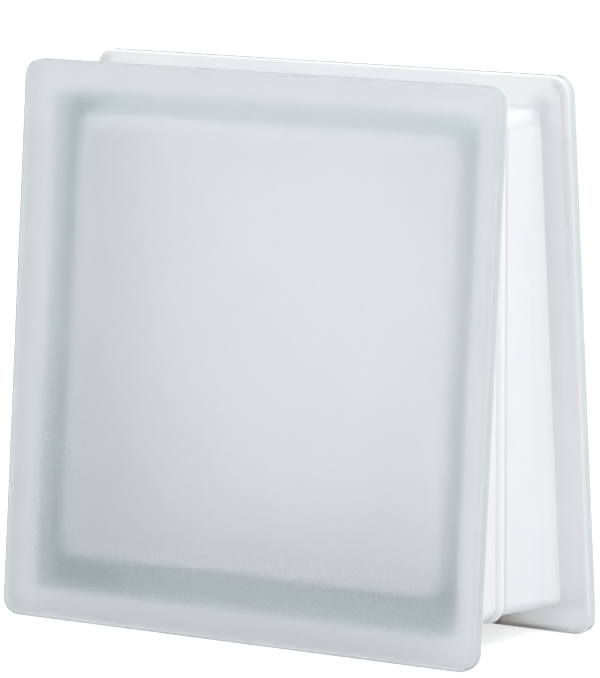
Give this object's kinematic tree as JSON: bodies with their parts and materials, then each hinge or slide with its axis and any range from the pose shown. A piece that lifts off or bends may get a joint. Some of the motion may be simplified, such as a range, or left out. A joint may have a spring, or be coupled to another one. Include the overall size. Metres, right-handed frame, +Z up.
{
  "type": "glass block",
  "caption": "Hollow wedge-shaped glass block with satin faces and a white mortar channel round its waist, thick at the foot and thin at the head.",
  "frame": {"origin": "on the floor, under the middle of the block's foot", "axes": "+X to the right along the front face, +Y from the front face to the back face, +Z up"},
  "size_m": [0.19, 0.0808, 0.19],
  "materials": {
    "satin_glass": "clear pressed glass with satin-etched faces and a white coating in the mortar channel"
  },
  "bodies": {
    "root": {"front_half": "satin_glass", "back_half": "satin_glass"}
  },
  "joints": []
}
